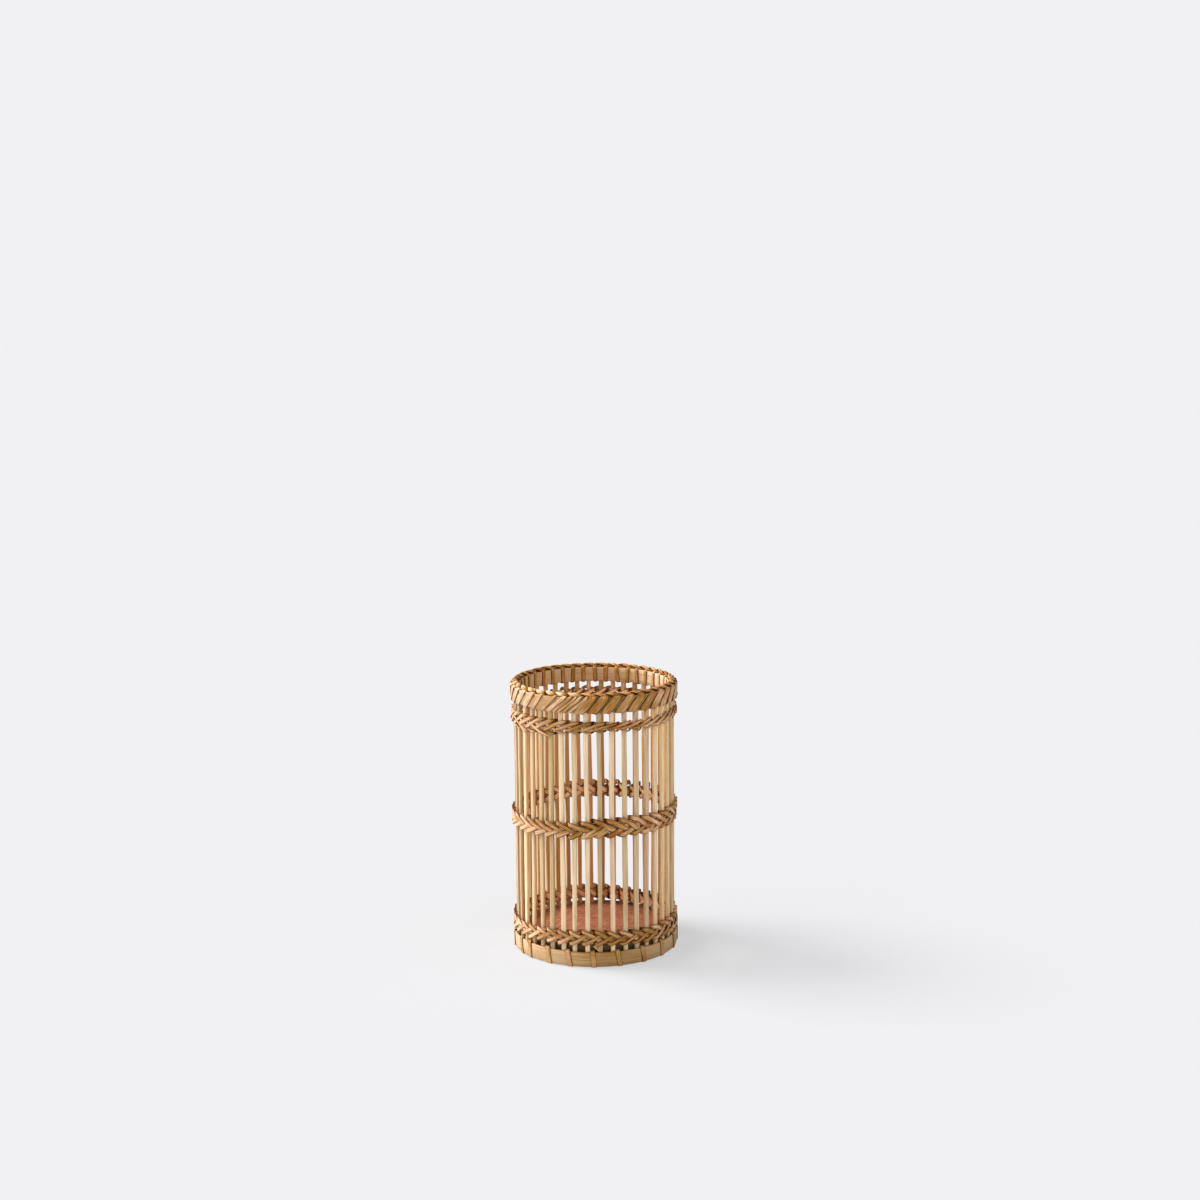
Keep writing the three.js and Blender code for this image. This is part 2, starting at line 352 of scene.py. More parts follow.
staveMaterial = fibreMaterial("splitBamboo", staveLook)
hoopMaterial = fibreMaterial("bambooHoop", hoopLook)
strandMaterial = fibreMaterial("twinedCane", strandLook)
lashingMaterial = fibreMaterial("lashingCane", lashingLook)
boardMaterial = fibreMaterial("reddishPly", boardLook)
print("materials made")


def finishPiece(piece, material, slot, *nodes):
    # One material, and its place in the frame
    piece.data.materials.clear()
    piece.data.materials.append(material)
    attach(piece, "root")
    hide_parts(*nodes)


def addValues(mesh, name, values):
    # A number for each vertex, which the materials read: "tone" of the piece, which also carries painted
    # light and shade, and "edge" of a strip, whose darkening is painted shade
    layer = mesh.attributes.new(name, "FLOAT", "POINT")
    layer.data.foreach_set("value", values)


# Middle and reach of the sides where painted light makes the canes paler, or painted shade browner
paintedLightSides = {"left": (-70, 55), "front": (10, 50), "right": (95, 65)}


def paintedSideLight(angle, left, front, right=0):
    # Painted light and shade: canes are paler round the left side, where the light falls, and browner in
    # front, and inside they are paler at the right
    paler = left * near(angle, *paintedLightSides["left"]) - front * near(angle, *paintedLightSides["front"])
    return paler + right * near(angle, *paintedLightSides["right"])


def joinPieces(pieces, name):
    deselectAll()
    for piece in pieces:
        piece.select_set(True)
    bpy.context.view_layer.objects.active = pieces[0]
    bpy.ops.object.join()
    pieces[0].name = name
    pieces[0].data.name = name
    return pieces[0]


def pickEdges(piece, wanted):
    # Selects the edges whose rise from end to end is wanted, in edit mode
    bpy.ops.object.mode_set(mode="EDIT")
    bpy.ops.mesh.select_all(action="DESELECT")
    bpy.ops.object.mode_set(mode="OBJECT")
    for edge in piece.data.edges:
        a, b = (piece.data.vertices[v].co for v in edge.vertices)
        edge.select = wanted(abs(a.z - b.z))
    bpy.ops.object.mode_set(mode="EDIT")
    bpy.ops.mesh.select_mode(type="EDGE")


# Strips: a grid is rolled into a strip of rounded section and laid along its route

stripWork = {
    "face": 0.84,  # share of the width that the front face takes
    "ridge": 0.3,  # share of it between the crown's two inner points
    "shade": 0.35,  # painted shade: how dark the rims of the front face are
    # Half of the flat back and a side: across, out and how dark, the darkness being painted shade
    "back": ((0.6, -1, 0.1), (0.9, -1, 0.8), (1, -0.4, 1), (1, 0.5, 1)),
    "merge": 0.002 * mm,
    "smooth": 50,
}
widest = 45.87 * mm  # nothing stands out further than the solids
highest = cadBox[1][2] - 0.02 * mm


def stripSection(crown, shade=stripWork["shade"], face=stripWork["face"]):
    # Points round the section, flat behind and crowned in front: across and out from -1 to 1, and how dark,
    # as painted shade at the rims, sides and back
    places = (face, stripWork["ridge"], -stripWork["ridge"], -face)
    front = [(a, 1 + crown * (1 - a ** 2), shade if abs(a) == face else 0) for a in places]
    otherSide = [(-a, out, dark) for a, out, dark in reversed(stripWork["back"])]
    points = [*stripWork["back"], *front, *otherSide]
    return points + points[:1]


def keepInside(point):
    share = min(1, widest / math.hypot(point.x, point.y))
    return Vector((point.x * share, point.y * share, min(point.z, highest)))


def layPoints(stations, section, closed):
    # The section's points at each station, and the length of strip up to it in millimetres
    points, runs = [], []
    run = 0
    last = len(stations) - 1
    for i, (point, face, width, thickness, _) in enumerate(stations):
        before = stations[i - 1][0] if i else (stations[-2][0] if closed else point)
        after = stations[i + 1][0] if i < last else (stations[1][0] if closed else point)
        forward = (after - before).normalized()
        out = (face - forward * face.dot(forward)).normalized()
        across = forward.cross(out)
        run += (point - stations[i - 1][0]).length / mm if i else 0
        points.append([
            keepInside(point + across * (a * width / 2) + out * (o * thickness / 2)) for a, o, _ in section
        ])
        runs.append(run)
    return points, runs


def girths(section, width, thickness):
    # The length round the section up to each of its points
    lengths = [0]
    for (a, o, _), (b, p, _) in zip(section, section[1:]):
        lengths.append(lengths[-1] + math.hypot((b - a) * width / 2, (p - o) * thickness / 2))
    return lengths


def closeStrip():
    # The rolled grid's edges are merged, its ends filled and its faces turned outwards
    bpy.ops.object.mode_set(mode="EDIT")
    bpy.ops.mesh.select_all(action="SELECT")
    bpy.ops.mesh.remove_doubles(threshold=stripWork["merge"])
    bpy.ops.mesh.select_all(action="DESELECT")
    bpy.ops.mesh.select_mode(type="EDGE")
    bpy.ops.mesh.select_non_manifold()
    bpy.ops.mesh.fill_holes(sides=0)
    bpy.ops.mesh.select_all(action="SELECT")
    bpy.ops.mesh.normals_make_consistent(inside=False)
    bpy.ops.object.mode_set(mode="OBJECT")
    bpy.ops.object.shade_smooth_by_angle(angle=math.radians(stripWork["smooth"]))


def rollStrip(name, stations, section, closed=False):
    # Each station: its point, the way the strip's face looks, width, thickness and tone
    rows, columns = len(stations), len(section)
    points, runs = layPoints(stations, section, closed)
    girth = girths(section, stations[0][2] / mm, stations[0][3] / mm)
    deselectAll()
    bpy.ops.mesh.primitive_grid_add(x_subdivisions=rows - 1, y_subdivisions=columns - 1, size=2)
    strip = bpy.context.object
    strip.name = name
    mesh = strip.data
    places = [
        (round((vertex.co.x + 1) / 2 * (rows - 1)), round((vertex.co.y + 1) / 2 * (columns - 1)))
        for vertex in mesh.vertices
    ]
    uv = mesh.uv_layers.active
    uv.name = "strip"
    for loop in mesh.loops:
        i, j = places[loop.vertex_index]
        uv.data[loop.index].uv = (runs[i], girth[j])
    for vertex, (i, j) in zip(mesh.vertices, places):
        vertex.co = points[i][j]
    addValues(mesh, "tone", [stations[i][-1] for i, _ in places])
    addValues(mesh, "edge", [section[j][-1] for _, j in places])
    mesh.update()
    closeStrip()
    return strip


# Staves

staveWork = {
    "seed": 7,
    "cuts": 23,  # rings along a stave, for its slow bends
    "edge": 0.45 * mm,
    "edgeSteps": 2,
    "smooth": 40,
    "headGap": 0.5 * mm,  # from its top to the solid's
    "back": 0.2,  # share of the thickness behind its middle where the darker back begins
    "bow": 0.28 * mm,  # how far a stave wanders from its line
    "ripple": 0.35,  # share of the bow in quicker waves, and in and out
    "swell": 0.05,  # how much wider and narrower it gets
    "waves": {"slow": 2, "quick": 5, "bulge": 3, "swell": 4},  # half waves along a stave
    "starts": 3,  # radians by which a wave starts early or late
    "swellStarts": 5,
    "lean": 0.35 * mm,
    "width": 2.42 * mm,
    "widthSpread": 0.09,
    # Staves that lean to the side at the top, by their numbers, in millimetres
    "leans": {2: 0.6, 3: 0.9, 4: 0.9, 5: 0.9, 6: 0.7, 33: 0.7, 34: 0.9, 35: 0.9, 36: 0.6},
}


def staveBar(name, width, height):
    # A bar with its long edges bevelled and rings cut across it
    deselectAll()
    bpy.ops.mesh.primitive_cube_add(size=1)
    stave = bpy.context.object
    stave.name = name
    stave.scale = (width, cage["staveThickness"], height)
    bpy.ops.object.transform_apply(location=False, rotation=False, scale=True)
    pickEdges(stave, lambda rise: rise > height / 2)
    bpy.ops.mesh.bevel(offset=staveWork["edge"], segments=staveWork["edgeSteps"])
    pickEdges(stave, lambda rise: rise > height / 2)
    bpy.ops.mesh.subdivide(number_cuts=staveWork["cuts"], quadcorner="INNERVERT")
    bpy.ops.object.mode_set(mode="OBJECT")
    return stave


def wave(kind, share, start):
    return math.sin(staveWork["waves"][kind] * math.pi * share + start)


def bendStave(stave, index, low, high, rng):
    slow, slowStart, quick, quickStart, bulgeStart, bulgeSize = [rng.uniform(-1, 1) for _ in range(6)]
    lean = rng.uniform(-1, 1) * staveWork["lean"]
    aside = staveWork["leans"].get(index, 0) * mm
    turn = math.radians(staveAngle(index))
    bow, ripple, starts = staveWork["bow"], staveWork["ripple"], staveWork["starts"]
    for vertex in stave.data.vertices:
        share = vertex.co.z / (high - low) + 0.5
        inMiddle = math.sin(math.pi * share)  # its ends stay where they are
        wander = wave("slow", share, slowStart * starts) * slow
        wander += wave("quick", share, quickStart * starts) * quick * ripple
        side = wander * bow * inMiddle + lean * (share - 0.5) * 2 + aside * share
        bulge = wave("bulge", share, bulgeStart * starts) * bulgeSize * bow * ripple * inMiddle
        swell = 1 + staveWork["swell"] * wave("swell", share, quick * staveWork["swellStarts"])
        x = vertex.co.x * swell + side
        y = vertex.co.y + bulge - cage["radius"]
        z = vertex.co.z + (low + high) / 2
        vertex.co = (x * math.cos(turn) - y * math.sin(turn), x * math.sin(turn) + y * math.cos(turn), z)


def makeStave(index, rng):
    low, high = staveBox[0][2], staveBox[1][2] - staveWork["headGap"]
    width = staveWork["width"] * (1 + rng.uniform(-1, 1) * staveWork["widthSpread"])
    stave = staveBar(f"bamboo_stave_{index + 1:02d}", width, high - low)
    vertices = stave.data.vertices
    backFrom = cage["staveThickness"] * staveWork["back"]
    backs = [1.0 if vertex.co.y > backFrom else 0.0 for vertex in vertices]
    bendStave(stave, index, low, high, rng)
    addValues(stave.data, "tone", [rng.random()] * len(vertices))
    addValues(stave.data, "edge", backs)
    bpy.ops.object.shade_smooth_by_angle(angle=math.radians(staveWork["smooth"]))
    finishPiece(stave, staveMaterial, "bamboo_stave", f"stave_{index + 1:02d}")


staveRng = random.Random(staveWork["seed"])
for index in range(cage["staves"]):
    makeStave(index, staveRng)
print("staves made")


# Hoops

hoopWork = {
    "seed": 11,
    "stations": 160,
    "wobble": 0.12 * mm,
    "waves": 3,  # that make the wobble, each with a start, a count round the hoop and a size
    "starts": (0, 6.28),
    "counts": (3, 4, 5, 7),
    "sizes": (0.3, 1),
    "thickness": 0.9 * hoopThickness,
    "crown": 0.25,
    # painted shade: a thin dark line along the top and bottom rims of a hoop's face
    "shade": 0.1,
    "face": 0.95,
    "baseGap": 0.3 * mm,  # under the base's outer hoop, so that only the lashing is under it
}
# Tone of each hoop, then painted light and shade on it: how much paler it is at the left, darker in front
# and paler at the right
hoopTones = {
    "rim_outer_hoop": (0.2, 0.9, 1.6, 0),
    "rim_inner_hoop": (0.6, 0, 0, 2.0),
    "base_outer_hoop": (0.6, 0.5, 1.1, 0),
    "base_inner_hoop": (0.6, 0, 0, 0),
}


def makeHoop(name, node, rng):
    low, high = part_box(node)
    if node == "base_outer_hoop":
        low[2] = hoopWork["baseGap"]
    middle = high[0] - hoopThickness / 2
    height = high[2] - low[2] - 2 * hoopWork["wobble"]
    z = (high[2] + low[2]) / 2
    waves = [
        (rng.uniform(*hoopWork["starts"]), rng.choice(hoopWork["counts"]), rng.uniform(*hoopWork["sizes"]))
        for _ in range(hoopWork["waves"])
    ]
    tone, *sides = hoopTones[node]
    inward = -1 if node == "rim_inner_hoop" else 1
    stations = []
    for i in range(hoopWork["stations"] + 1):
        angle = 360 * i / hoopWork["stations"]
        a = math.radians(angle)
        lift = sum(math.sin(k * a + s) * w for s, k, w in waves) * hoopWork["wobble"] / hoopWork["waves"]
        # the hoop's own tone, with painted light and shade by side added
        shade = tone + paintedSideLight(angle, *sides)
        point = polar(angle, middle, z + lift)
        stations.append((point, outward(angle) * inward, height, hoopWork["thickness"], shade))
    section = stripSection(hoopWork["crown"], hoopWork["shade"], hoopWork["face"])
    hoop = rollStrip(name, stations, section, closed=True)
    if node == "base_inner_hoop":
        hoop = joinPieces([hoop, makeFiller()], name)
    finishPiece(hoop, hoopMaterial, "bamboo_hoop", node)


# A cane that lies inside the staves along the front of the board, made very dark as painted shade, for it
# lies in the shade of the lower band and the staves
fillerWork = {
    "from": -86,
    "to": 70,
    "step": 3,
    "bottom": 7.5 * mm,
    "top": 12.2 * mm,
    "radius": 41.3 * mm,
    "thickness": 0.7 * mm,
    "crown": 0.8,
    # painted shade
    "tone": -2.0,
}


def makeFiller():
    middle, width = (fillerWork["bottom"] + fillerWork["top"]) / 2, fillerWork["top"] - fillerWork["bottom"]
    stations = []
    for angle in range(fillerWork["from"], fillerWork["to"] + 1, fillerWork["step"]):
        point = polar(angle, fillerWork["radius"], middle)
        stations.append((point, outward(angle), width, fillerWork["thickness"], fillerWork["tone"]))
    return rollStrip("baseFiller", stations, stripSection(fillerWork["crown"]))


hoopRng = random.Random(hoopWork["seed"])
for hoopName, hoopNode in (
    ("bamboo_rim_outer_hoop", "rim_outer_hoop"),
    ("bamboo_rim_inner_hoop", "rim_inner_hoop"),
    ("bamboo_base_outer_hoop", "base_outer_hoop"),
    ("bamboo_base_inner_hoop", "base_inner_hoop"),
):
    makeHoop(hoopName, hoopNode, hoopRng)
print("hoops made")


# Base board

boardWork = {
    "sides": 128,
    "level": 0.01 * mm,  # most that an edge to bevel may rise
    "edge": 0.3 * mm,
    "edgeSteps": 2,
    "smooth": 35,
    "tone": 0.5,
}


def makeBoard():
    low, high = boardBox
    middle = (high[2] + low[2]) / 2
    deselectAll()
    bpy.ops.mesh.primitive_cylinder_add(
        vertices=boardWork["sides"], radius=high[0], depth=high[2] - low[2], location=(0, 0, middle)
    )
    board = bpy.context.object
    board.name = "ply_base_board"
    bpy.ops.object.transform_apply(location=True, rotation=False, scale=False)
    pickEdges(board, lambda rise: rise < boardWork["level"])
    bpy.ops.mesh.bevel(offset=boardWork["edge"], segments=boardWork["edgeSteps"])
    bpy.ops.object.mode_set(mode="OBJECT")
    bpy.ops.object.shade_smooth_by_angle(angle=math.radians(boardWork["smooth"]))
    addValues(board.data, "tone", [boardWork["tone"]] * len(board.data.vertices))
    finishPiece(board, boardMaterial, "base_plywood", "base_board")


makeBoard()
print("board made")


# Twined bands: three strands to a row, each going before two staves and behind the third

stitchStaves = 3


def smoothKeys(keys, place):
    # A smooth curve through (place, value) keys that repeat from one stitch to the next
    place = place % stitchStaves
    last = len(keys) - 1
    k = max(i for i in range(last) if keys[i][0] <= place)
    (p0, v0), (p1, v1) = keys[k], keys[k + 1]
    before = keys[k - 1] if k else (keys[last - 1][0] - stitchStaves, keys[last - 1][1])
    after = keys[k + 2] if k + 2 <= last else (keys[1][0] + stitchStaves, keys[1][1])
    width = p1 - p0
    slopeIn = (v1 - before[1]) / (p1 - before[0]) * width
    slopeOut = (after[1] - v0) / (after[0] - p0) * width
    t = (place - p0) / width
    return (
        v0 * (2 * t ** 3 - 3 * t ** 2 + 1) + slopeIn * (t ** 3 - 2 * t ** 2 + t)
        + v1 * (3 * t ** 2 - 2 * t ** 3) + slopeOut * (t ** 3 - t ** 2)
    )


# Height of a strand on its way, as a share of its swing: 0 is behind a stave, 1 and 2 are before one
riseKeys = (
    (0, 0), (0.42, -0.88), (0.76, -1.0), (1.08, -0.64), (1.5, 0),
    (1.92, 0.64), (2.24, 1.0), (2.58, 0.88), (3, 0),
)

bandWork = {
    "seed": 23,
    "steps": 12,  # stations from one stave to the next
    "thickness": 0.7 * mm,
    "thinnest": 0.35,  # share of that for the narrowest strip, rising with the width
    "fullWidth": 4 * mm,
    "crown": 0.25,
    # painted shade: how dark the rims of a strand's face are
    "shade": 0.55,
    "ease": 0.1 * mm,  # of its way in or out in the first and in the last quarter of a gap
    "bridge": 0.12 * mm,  # how far it stands out between the two staves that it goes before
    "sway": 0.08,  # how much the stitches vary in rise
    "swell": 0.08,  # in width
    "lift": 0.2 * mm,  # and in height
    "changeFrom": 0.35,  # share of a stitch after which it passes to the next one's values
    "changeOver": 0.3,
    "tone": 0.84,
    "toneSpread": 0.8,
    "paintedLightLeft": 1.0,  # painted light: how much paler the canes are at the left, and painted shade: how much browner in front
    "paintedShadeFront": 0.35,
    "sunk": 1.75,  # painted shade: how much darker a strip is where it turns in between the staves
    "sunkDepth": 2 * mm,
    "within": 1.5,  # painted light: how much paler it is inside the holder
    "withinDepth": 0.4 * mm,
    "flattest": 0.45 * mm,  # from a stave's face to the middle of a strip that lies on it
    "flatSide": (62, 62),  # middle and reach of the side where strips may lie flatter
    "canes": (("a", 0, 27), ("b", 1, 13)),  # name, first stave, stitches: one goes round twice, one once
}


def depthKeys(inner, first, second):
    # Radius on the way: behind a stave, then before the first and the second
    middle, ease = cage["radius"], bandWork["ease"]
    return (
        (0, inner), (0.26, inner + ease), (0.5, middle), (0.74, first - ease), (1.0, first),
        (1.5, (first + second) / 2 + bandWork["bridge"]), (2.0, second), (2.26, second - ease),
        (2.5, middle), (2.74, inner + ease), (3, inner),
    )


# Each band: the stave behind which its first cane begins, and its two rows. Each row: the way it leans, its
# middle above the band's, half its rise, the strip's width, how far its middle lies from the stave's face
# behind a stave, before the first one and before the second, and the share of that by which it lies flatter
# at the right
bandRows = {
    "lower_band": (22, (
        ("bottom", 1, -0.45 * mm, 2.6 * mm, 2.1 * mm, (0.5 * mm, 1.45 * mm, 0.8 * mm), 0),
        ("top", -1, 0.5 * mm, 2.6 * mm, 2.4 * mm, (1.25 * mm, 1.2 * mm, 0.45 * mm), 0),
    )),
    "middle_band": (14, (
        ("bottom", 1, -1.6 * mm, 2.2 * mm, 2.25 * mm, (0.5 * mm, 1.6 * mm, 0.5 * mm), 0.9),
        ("top", -1, 0.95 * mm, 2.6 * mm, 2.2 * mm, (1.25 * mm, 1.35 * mm, 0.9 * mm), 0),
    )),
    "upper_band": (28, (
        ("bottom", -1, -1.45 * mm, 2.0 * mm, 1.15 * mm, (0.5 * mm, 0.9 * mm, 0.4 * mm), 0),
        ("top", 1, 0.35 * mm, 1.85 * mm, 1.65 * mm, (1.2 * mm, 1.4 * mm, 1.0 * mm), 0),
    )),
}
# Each band's height, and how it wanders round the holder: angle, lift, shares of the rise and of the width
bandCourse = {
    "lower_band": (15.6 * mm, (
        (-90, -1.2 * mm, 1.1, 1), (-56, -0.7 * mm, 1.0, 1), (-33, 0.1 * mm, 1.0, 1), (0, 0.5 * mm, 1.0, 1),
        (22, -0.4 * mm, 0.93, 1), (45, -1.0 * mm, 0.95, 1), (65, -0.2 * mm, 1.12, 1),
        (100, -1.2 * mm, 1.05, 1.1), (145, -2.5 * mm, 0.92, 1.3), (185, -1.4 * mm, 0.85, 1.4),
        (225, -1.6 * mm, 0.9, 1.3), (270, -1.2 * mm, 1.1, 1),
    )),
    "middle_band": (75.9 * mm, (
        (-90, -1.9 * mm, 0.88, 1.1), (-50, -1.4 * mm, 0.9, 1.12), (-14, -0.6 * mm, 0.92, 1.12),
        (0, 0.6 * mm, 1.05, 1.15), (20, 0.7 * mm, 1.1, 1.25), (45, 0.3 * mm, 1.08, 1.22),
        (70, 0.4 * mm, 1.05, 1.15), (120, 0.6 * mm, 1.0, 1.2), (180, 0, 0.95, 1.25),
        (230, -0.8 * mm, 0.9, 1.2), (270, -1.9 * mm, 0.88, 1.1),
    )),
    "upper_band": (130.9 * mm, (
        (-90, -1.0 * mm, 1.4, 1.2), (-60, -0.7 * mm, 1.4, 1.3), (-30, 0, 1.2, 1.25),
        (-8, 0.1 * mm, 0.9, 1.1), (10, 0.3 * mm, 0.75, 1.05), (30, 0, 0.8, 1.05),
        (50, 0.3 * mm, 0.85, 1.05), (75, 1.1 * mm, 0.95, 1),
        (120, 1.4 * mm, 0.95, 1.1), (180, 1.6 * mm, 0.95, 1.15), (270, -1.0 * mm, 1.4, 1.2),
    )),
}


def courseAt(keys, angle):
    # Lift, share of the rise and share of the width at an angle, eased from one key to the next
    angle = angleFrom(keys[0][0], angle)
    for (a0, *before), (a1, *after) in zip(keys, keys[1:]):
        if a0 <= angle <= a1:
            t = (angle - a0) / (a1 - a0)
            t = t * t * (3 - 2 * t)
            return [a + (b - a) * t for a, b in zip(before, after)]


# Cane ends that lie loose over the bands: first and last angle and height, radius, width and tone
looseEnds = {
    "cane_middle_band_bottom_a": (
        ((-6.0, 71.3 * mm), (8.6, 77.6 * mm), staveOuter + 1.9 * mm, 1.7 * mm, 0.55),
    ),
    "cane_lower_band_bottom_a": (
        ((-1.4, 11.9 * mm), (2.2, 9.0 * mm), staveOuter + 0.5 * mm, 0.36 * mm, 3.0),
        ((-0.2, 12.0 * mm), (2.8, 9.9 * mm), staveOuter + 0.3 * mm, 0.3 * mm, 2.8),
    ),
    "cane_upper_band_bottom_a": (
        ((-72.0, 132.0 * mm), (-52.0, 126.0 * mm), staveOuter + 1.7 * mm, 1.2 * mm, 1.2),
        ((-50.0, 131.4 * mm), (-31.0, 124.9 * mm), staveOuter + 1.6 * mm, 1.3 * mm, 1.3),
    ),
}

endWork = {
    "crown": 0.5,
    "thin": 0.5 * mm,  # a strip under this width is a loose fibre, with no dark edges and no bent ends
    "sag": 0.3 * mm,
    "thinSag": 0.1 * mm,
    "bentFrom": 0.7,  # share of the way from its middle to an end
    "bentIn": 1.1 * mm,
    "narrower": 0.25,  # at its ends
    "thickness": 0.4 * mm,
    "thickest": 0.7,  # share of the width
}


def makeEnd(first, last, radius, width, tone):
    # A strip between two places, sagging a little, its ends bent in
    thin = width < endWork["thin"]
    sag = endWork["thinSag"] if thin else endWork["sag"]
    thickness = min(endWork["thickness"], width * endWork["thickest"])
    section = [(across, out, 0 if thin else dark) for across, out, dark in stripSection(endWork["crown"])]
    stations = []
    for i in range(bandWork["steps"] + 1):
        t = i / bandWork["steps"]
        bent = 0 if thin else max(abs(2 * t - 1) - endWork["bentFrom"], 0) / (1 - endWork["bentFrom"])
        angle = first[0] + (last[0] - first[0]) * t
        z = first[1] + (last[1] - first[1]) * t - sag * math.sin(math.pi * t)
        point = polar(angle, radius - endWork["bentIn"] * bent ** 2, z)
        stations.append((point, outward(angle), width * (1 - endWork["narrower"] * bent), thickness, tone))
    return rollStrip("looseEnd", stations, section)


def caneTone(angle, radius, tone):
    # Painted shade where the cane turns in between the staves, painted light inside the holder, and painted
    # light and shade by side
    sunk = clamped((staveOuter - radius) / bandWork["sunkDepth"])
    within = clamped((staveInner - radius) / bandWork["withinDepth"])
    sides = paintedSideLight(angle, bandWork["paintedLightLeft"], bandWork["paintedShadeFront"]) * (1 - within)
    own = bandWork["tone"] + tone * bandWork["toneSpread"] + sides
    return own - bandWork["sunk"] * sunk * (1 - sunk) * 4 + bandWork["within"] * within


def makeCane(name, node, row, course, firstStave, stitches, rng):
    _, lean, offset, swing, width, (inside, first, second), flatter = row
    bandMiddle, keys = course
    steps = bandWork["steps"]
    thickness = bandWork["thickness"] * min(1, bandWork["thinnest"] + width / bandWork["fullWidth"])
    depth = depthKeys(staveInner - inside, staveOuter + first, staveOuter + second)
    jitter = [[rng.uniform(-1, 1) for _ in range(4)] for _ in range(stitches + 1)]
    centres, widths, tones = [], [], []
    total = stitchStaves * stitches * steps
    for i in range(total + 1):
        u = i / steps
        k = int(u / stitchStaves)
        change = clamped((u / stitchStaves - k - bandWork["changeFrom"]) / bandWork["changeOver"])
        blend = change if k < stitches else 0
        pair = zip(jitter[k], jitter[min(k + 1, stitches)])
        lift, swell, sway, tone = (a + (b - a) * blend for a, b in pair)
        angle = staveAngle(firstStave + u)
        courseLift, share, broad = courseAt(keys, angle)
        rise = lean * swing * share * (1 + bandWork["sway"] * sway) * smoothKeys(riseKeys, u)
        z = bandMiddle + courseLift + offset * share + lift * bandWork["lift"] + rise
        radius = smoothKeys(depth, u)
        proud = max(radius - staveOuter - bandWork["flattest"], 0)
        radius -= proud * flatter * near(angle, *bandWork["flatSide"])
        centres.append(polar(angle, radius, z))
        widths.append(width * broad * (1 + bandWork["swell"] * swell))
        tones.append(caneTone(angle, radius, tone))
    stations = []
    for i, centre in enumerate(centres):
        forward = (centres[min(i + 1, total)] - centres[max(i - 1, 0)]).normalized()
        upright = (up - forward * up.dot(forward)).normalized()
        stations.append((centre, forward.cross(upright), widths[i], thickness, tones[i]))
    strand = rollStrip(name, stations, stripSection(bandWork["crown"], bandWork["shade"]))
    ends = [makeEnd(*end) for end in looseEnds.get(name, ())]
    if ends:
        strand = joinPieces([strand, *ends], name)
    finishPiece(strand, strandMaterial, "band_strand", node)


def makeBands():
    rng = random.Random(bandWork["seed"])
    for bandName, (firstStave, rows) in bandRows.items():
        course = bandCourse[bandName]
        for row in rows:
            piece = f"{bandName}_{row[0]}"
            for cane, start, stitches in bandWork["canes"]:
                name, node = f"cane_{piece}_{cane}", f"{piece}_strand_{cane}"
                makeCane(name, node, row, course, firstStave + start, stitches, rng)


makeBands()
print("bands made")


# Lashings: a strip wound round the hoops, given by its corners in angle, radius and height

windWork = {
    "step": 1.1 * mm,  # from one station to the next
    "cornerShare": 0.48,  # most that a rounded corner takes of the way to the next one
    "cornerSteps": 4,
    "still": 1e-9,  # a face shorter than this has no direction
    "tones": 400,  # drawn for each strip
    "toneStart": 200,  # the one at angle 0
    "toneRound": 3600,  # degrees, so that angles left of the front count on from the end
}


def filletRoute(corners, fillet):
    # Points along a route through the corners, each corner rounded off
    def at(a, b, share):
        return tuple(p + (q - p) * share for p, q in zip(a, b))

    def distance(a, b):
        return (polar(*a) - polar(*b)).length

    def straight(start, end):
        pieces = max(1, round(distance(start, end) / windWork["step"]))
        return [at(start, end, i / pieces) for i in range(1, pieces + 1)]

    route = [corners[0]]
    for before, corner, after in zip(corners, corners[1:], corners[2:]):
        start = at(corner, before, min(fillet / distance(before, corner), windWork["cornerShare"]))
        end = at(corner, after, min(fillet / distance(corner, after), windWork["cornerShare"]))
        route += straight(route[-1], start)
        for i in range(1, windWork["cornerSteps"] + 1):
            t = i / windWork["cornerSteps"]
            route.append(at(at(start, corner, t), at(corner, end, t), t))
    return route + straight(route[-1], corners[-1])


def windStrip(name, corners, width, thickness, turnSign, tones, fillet, crown):
    # turnSign is +1 where the strip climbs the outside of the hoops, -1 where it runs down it
    # width and tones give theirs for an angle, a radius and a height
    route = filletRoute(corners, fillet)
    stations = []
    for i, place in enumerate(route):
        before = route[max(i - 1, 0)]
        after = route[min(i + 1, len(route) - 1)]
        dr, dz = after[1] - before[1], after[2] - before[2]
        face = outward(place[0]) * (dz * turnSign) - up * (dr * turnSign)
        if face.length < windWork["still"]:
            face = outward(place[0])
        stations.append((polar(*place), face.normalized(), width(*place), thickness, tones(*place)))
    return rollStrip(name, stations, stripSection(crown))


def toneByTurn(rng, spacing):
    # A tone for each stretch of strip, blended from one to the next
    count = windWork["tones"]
    values = [rng.random() for _ in range(count)]

    def tones(angle, *place):
        turn = (angle % windWork["toneRound"]) / spacing + windWork["toneStart"]
        low = int(turn)
        share = turn - low
        return values[low % count] * (1 - share) + values[(low + 1) % count] * share

    return tones


